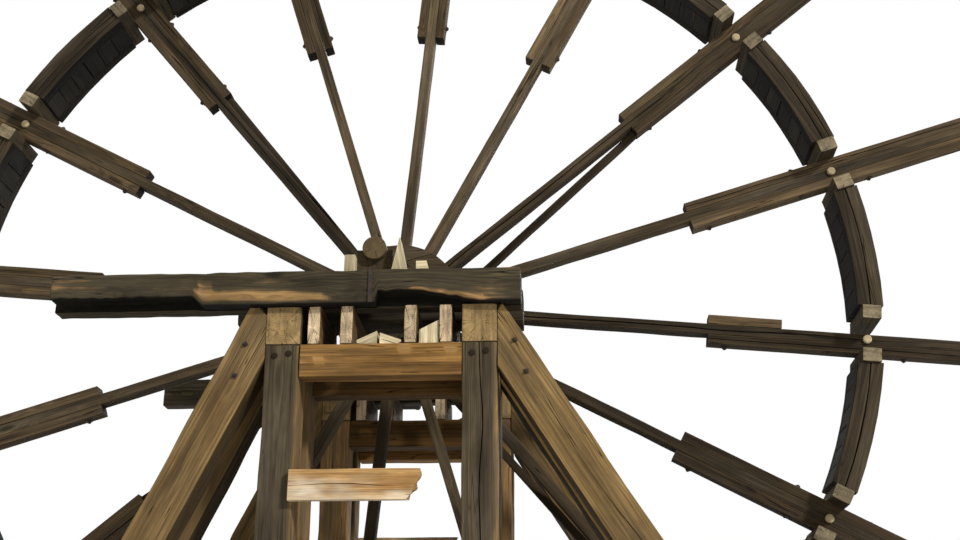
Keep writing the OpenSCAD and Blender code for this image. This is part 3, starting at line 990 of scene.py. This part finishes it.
# Tone of each spoke and of its cheek planks, from the first spoke upwards; 0.5 is the middle
# Most tones are painted light and shade: lighter where a spoke or plank catches the light, darker in
# shade
SPOKE_LIGHT_AND_TONES = (0.9, 0.1, 1.8, 1.5, 1.1, -0.3, 0.1, 0.4, 0.7, 0.3, 0.6, 0.2, 0.8, 0.4, -0.4, -0.4)
CHEEK_LIGHT_AND_TONES = (1.0, 0.1, 1.6, 0.0, -0.4, -0.4, 0.1, 0.5, 0.3, 0.8, 0.2, 0.6, 0.4, 0.7, -0.5, -0.5)


def tone_of(tones, points):
    first = SPOKE_ANGLES[SPOKE_ANGLES > 0].min()
    return tones[round((nearest_spoke(points) - first) / (FULL_TURN / len(tones))) % len(tones)]


def cheek_light_and_tone(points):
    """A plank's tone as painted light and shade: lighter above its spoke, darker below, bright on the
    short one left of a broken plank.
    """
    local = spun(points, -nearest_spoke(points))
    if np.ptp(local[:, X]) < 1.5:
        return 1.0
    return tone_of(CHEEK_LIGHT_AND_TONES, points) + (0.12 if local[:, Z].mean() > AXLE_HEIGHT else -0.12)


def wheel_pieces():
    add = functools.partial(timbers, "wheel")
    axle_piece()
    barrel_piece()
    plates_piece()
    collar_and_hoops()
    add("spokes", "spoke_timber", SAWN, 11, tone=functools.partial(tone_of, SPOKE_LIGHT_AND_TONES))
    add("spoke_cheeks", "cheek_timber", PLANK, 21, tone=cheek_light_and_tone)
    # The stays are darkened with painted shade
    add("back_stays", "spoke_timber", SMALL, 22, beside_spoke, tone=-0.35)
    for k, side in enumerate(TOWERS):
        add(side + "_ring_felloes", "felloe_timber", SAWN, 31 + k, felloes)
        add(side + "_rim_felloes", "felloe_timber", SAWN, 41 + k, felloes)
    add("ring_blocks", "cleat_timber", SMALL, 51, beside_spoke)
    add("rim_blocks", "cleat_timber", SMALL, 52, beside_spoke)
    add("rim_cleats", "cleat_timber", SMALL, 53)
    for k, node in enumerate(("ring_sole", "upper_rim_sole", "lower_rim_sole")):
        add(node, "sole_timber", PLANK, 61 + k, boards_across)
    wheel_fixings()


# Pieces of the towers

# Pale marks on the outer beam, split wood and painted sunlight on its lower strip and the split's
# edge: how strong, limits along X with their softness, and the same in height above the split's edge
BEAM_MARKS_AND_SUNLIGHT = ((1.0, (-1.60, -0.46, 0.15), (0.05, 0.09, 0.02)),
              (0.9, (-1.62, -1.50, 0.08), (0.14, 0.18, 0.02)),
              (1.0, (0.42, 1.04, 0.10), (-0.03, 0.03, 0.01)),
              (0.52, (-3.00, -0.80, 0.30), (0.06, 0.40, 0.04)),
              (0.52, (0.55, 1.40, 0.30), (0.06, 0.40, 0.04)))

# Pale scuffs and painted highlights on the upper rails: how strong, and the same limits along X and in
# height
SCUFFS_AND_HIGHLIGHTS = ((1.0, (-0.52, -0.42, 0.04), (8.160, 8.200, 0.02)),
          (1.0, (-0.35, -0.15, 0.04), (8.105, 8.135, 0.02)),
          (1.0, (0.27, 0.37, 0.04), (8.210, 8.310, 0.02)),
          (1.0, (0.70, 0.80, 0.04), (8.220, 8.260, 0.02)))

# The split's two sides in the outer beam's section, darkened with painted shade
SPLIT_WALL, SPLIT_ROOF = 4, 5


def bearing_beams(tower, seed):
    """The whole inner beam, and the outer one with slabs split off its lower front edge."""
    heap = Heap(seed)
    whole, points = sorted(solids(tower + "_bearing_beams"), key=outermost)
    straight(heap, whole, HEWN)
    (x0, x1), (z0, z1) = limits(points, X), limits(points, Z)
    away = abs(points[:, Y])
    outer, inner = away.max(), away.min()
    edge = points[(away > outer - 0.001) & (points[:, Z] < z1 - 0.001)]
    edge = edge[np.argsort(edge[:, X])]
    roof_z = edge[:, Z].max()
    wall = -away[(away < outer - 0.001) & (away > inner + 0.001)].min()
    section = Section([(roof_z, -outer), (z1, -outer), (z1, -inner), (z0, -inner), (z0, wall),
                       (roof_z, wall)], HEWN["bevel"], False)
    tree = tree_place(heap.rng, 0.03)
    rows = np.linspace(x0, x1, 300)
    ragged = wobble(rows * 3, heap.rng) * 0.008 + wobble(rows * 11, heap.rng) * 0.004

    def place(t, a, b):
        x = x0 + (x1 - x0) * t
        roof = np.interp(x, edge[:, X], edge[:, Z])
        roof = roof + np.interp(x, rows, ragged) * np.clip((roof - z0) / 0.04, 0, 1)
        above = roof + (a - roof_z) * (z1 - roof) / (z1 - roof_z)
        below = z0 + (a - z0) * (roof - z0) / (roof_z - z0)
        z = np.where(b < wall + 0.02, np.where(a >= roof_z - 0.02, above, below), a)
        out = np.stack([x, -TOWERS[tower] * b, np.clip(z, z0, z1)], -1)
        return out, np.stack([x, a - (z0 + z1) / 2, b + (inner + outer) / 2], -1) + tree

    # Pale split wood, and painted sunlight on the beam's lower strip and along the split's edge
    def fresh(at):
        height = at[..., Z] - np.interp(at[..., X], edge[:, X], edge[:, Z])
        return (abs(at[..., Y]) > outer - 0.02) * marked(at[..., X], height, BEAM_MARKS_AND_SUNLIGHT)

    # The split's sides are darkened with painted shade
    sweep(heap, section, x1 - x0, place, SPLIT_BEAM, tower == "front",
          dark=(SPLIT_WALL, SPLIT_ROOF), fresh=fresh)
    heap.build(tower + "_bearing_beams_timber", "beam_timber", "frame", (tower + "_bearing_beams",))


def saddle_piece(tower, seed):
    """A bearing block with the half round that the axle lies in."""
    points = solids(tower + "_saddle")[0]
    (x0, x1), (z0, _) = limits(points, X), limits(points, Z)
    bore = radii(points).min()
    turns = np.linspace(0, -math.pi, 25)
    arch = [(bore * math.cos(t), AXLE_HEIGHT + bore * math.sin(t)) for t in turns]
    line = np.array([(x0, AXLE_HEIGHT), (x0, z0), (x1, z0), (x1, AXLE_HEIGHT)] + arch)
    heap = Heap(seed)
    slab(heap, line, *limits(points, Y), 0.004, along=Y)
    heap.build(tower + "_saddle_block", "hub_timber", "frame", (tower + "_saddle",))


def tones_with_shaded_inner(outer, inner):
    """A tone for timbers on the side away from the wheel, and another for those towards it, which the
    callers make darker as painted shade.
    """
    face = abs(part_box("front_left_posts")[0].y) - 0.05
    return lambda points: outer if outermost(points) > face else inner


def scuffs_and_highlights(at):
    return marked(at[..., X], at[..., Z], SCUFFS_AND_HIGHLIGHTS)


def post_painted_sunlight(node):
    """Painted sunlight: paler wood on a post's right face and on its half towards the wheel."""
    low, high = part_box(node)
    right, middle = high.x - 0.02, (abs(low.y) + abs(high.y)) / 2
    return lambda at: 0.84 * ((at[..., X] > right) | (abs(at[..., Y]) < middle))


def tower_pieces():
    add = functools.partial(timbers, "frame")
    for k, tower in enumerate(TOWERS):
        for n, hand in enumerate(HANDS):
            post = tower + hand + "_posts"
            add(post, "post_timber", HEWN, 111 + 10 * n + k, heart=0.04, fresh=post_painted_sunlight(post))
        add(tower + "_caps", "cap_timber", SAWN, 131 + k, prism=X)
        bearing_beams(tower, 141 + k)
        add(tower + "_joists", "cap_timber", SAWN, 151 + k, prism=X, finish="joist")
        # Inner rails are darkened with painted shade, and some pale marks are painted highlights
        add(tower + "_upper_rails", "rail_timber", RAIL, 161 + k, tone=tones_with_shaded_inner(0.9, -0.7), fresh=scuffs_and_highlights)
        # The broken girt is paler and greyer than the other timbers
        add(tower + "_broken_girt", "rail_timber", PLANK, 171 + k, finish="bleached", broken=(0.0, 0.05))
        add(tower + "_girts", "rail_timber", PLANK, 181 + k)
        # Struts: the inner ones darker and every underside darkened, both painted shade
        for n, hand in enumerate(HANDS):
            add(tower + hand + "_struts", "strut_timber", RAKING, 191 + 10 * n + k,
                tone=tones_with_shaded_inner(0.6, 0.0), dark=(LOW_A,), gloom=0.72)
        add(tower + "_sills", "sill_timber", HEWN, 211 + k)
        add(tower + "_chocks", "chock_timber", SMALL, 221 + k)
        saddle_piece(tower, 231 + k)
    add("beam_straps", "iron", FORGED, 240)
    add("sill_blocks", "sill_timber", SAWN, 241, prism=X)
    add("ground_ties", "sill_timber", HEWN, 242, prism=X)
    tower_fixings()


# Floor, light and camera

# How brightly the white surroundings light the object, against 1 where the camera sees them
AMBIENT = 0.55

# Strength and angular width of each lamp, and the direction that it shines from
LAMPS = {"key": (3.2, 6, (0.72, -0.64, 0.58)), "fill": (1.5, 25, (0.2, 0.85, 0.45))}

# The photograph's view: a camera in front of the front tower, looking up past it
CAMERA_PLACE = (1.771, -13.453, 4.768)
YAW, PITCH, ROLL = map(math.radians, (3.745, 20.233, 0.14))
FOCAL_PIXELS = 1311.25
PHOTO_WIDTH = 960
SENSOR_WIDTH = 36.0


def studio():
    scene = bpy.context.scene
    scene.view_settings.view_transform = "Standard"
    mesh = bpy.data.meshes.new("floor")
    mesh.from_pydata([(x, y, 0.0) for x, y in circle(180.0, 64)], [], [range(64)])
    g = Graph(bpy.data.materials.new("floor"))
    mesh.materials.append(g.finish(colour(226, 226, 224), 0.9, 0.0, 0.0, 0.006))
    new_object("floor", mesh)

    g = Graph(bpy.data.worlds.new("studio"))
    scene.world = g.owner
    seen = g.add("LightPath").outputs["Is Camera Ray"]
    strength = g.add("MapRange", {"Value": seen, "To Min": AMBIENT, "To Max": 1.0})
    white = g.add("Background", {"Color": (1.0, 1.0, 1.0, 1.0), "Strength": strength.outputs[0]})
    g.add("OutputWorld", {"Surface": white.outputs[0]})

    for name, (energy, spread, way) in LAMPS.items():
        light = bpy.data.lights.new(name, "SUN")
        light.energy = energy
        light.angle = math.radians(spread)
        lamp = new_object(name, light)
        lamp.rotation_euler = Vector(way).to_track_quat("Z", "Y").to_euler()


def camera():
    data = bpy.data.cameras.new("camera")
    data.sensor_width = SENSOR_WIDTH
    data.lens = FOCAL_PIXELS / PHOTO_WIDTH * SENSOR_WIDTH
    data.clip_end = 400.0
    cam = new_object("camera", data)
    right = Vector((math.cos(YAW), math.sin(YAW), 0.0))
    forward = Vector((-right.y * math.cos(PITCH), right.x * math.cos(PITCH), math.sin(PITCH)))
    up = right.cross(forward)
    turn = Matrix.Rotation(-ROLL, 3, forward)
    right, up = turn @ right, turn @ up
    axes = Matrix((right, up, -forward)).transposed()
    cam.matrix_world = Matrix.Translation(CAMERA_PLACE) @ axes.to_4x4()
    bpy.context.scene.camera = cam


camera()
studio()
wheel_pieces()
tower_pieces()
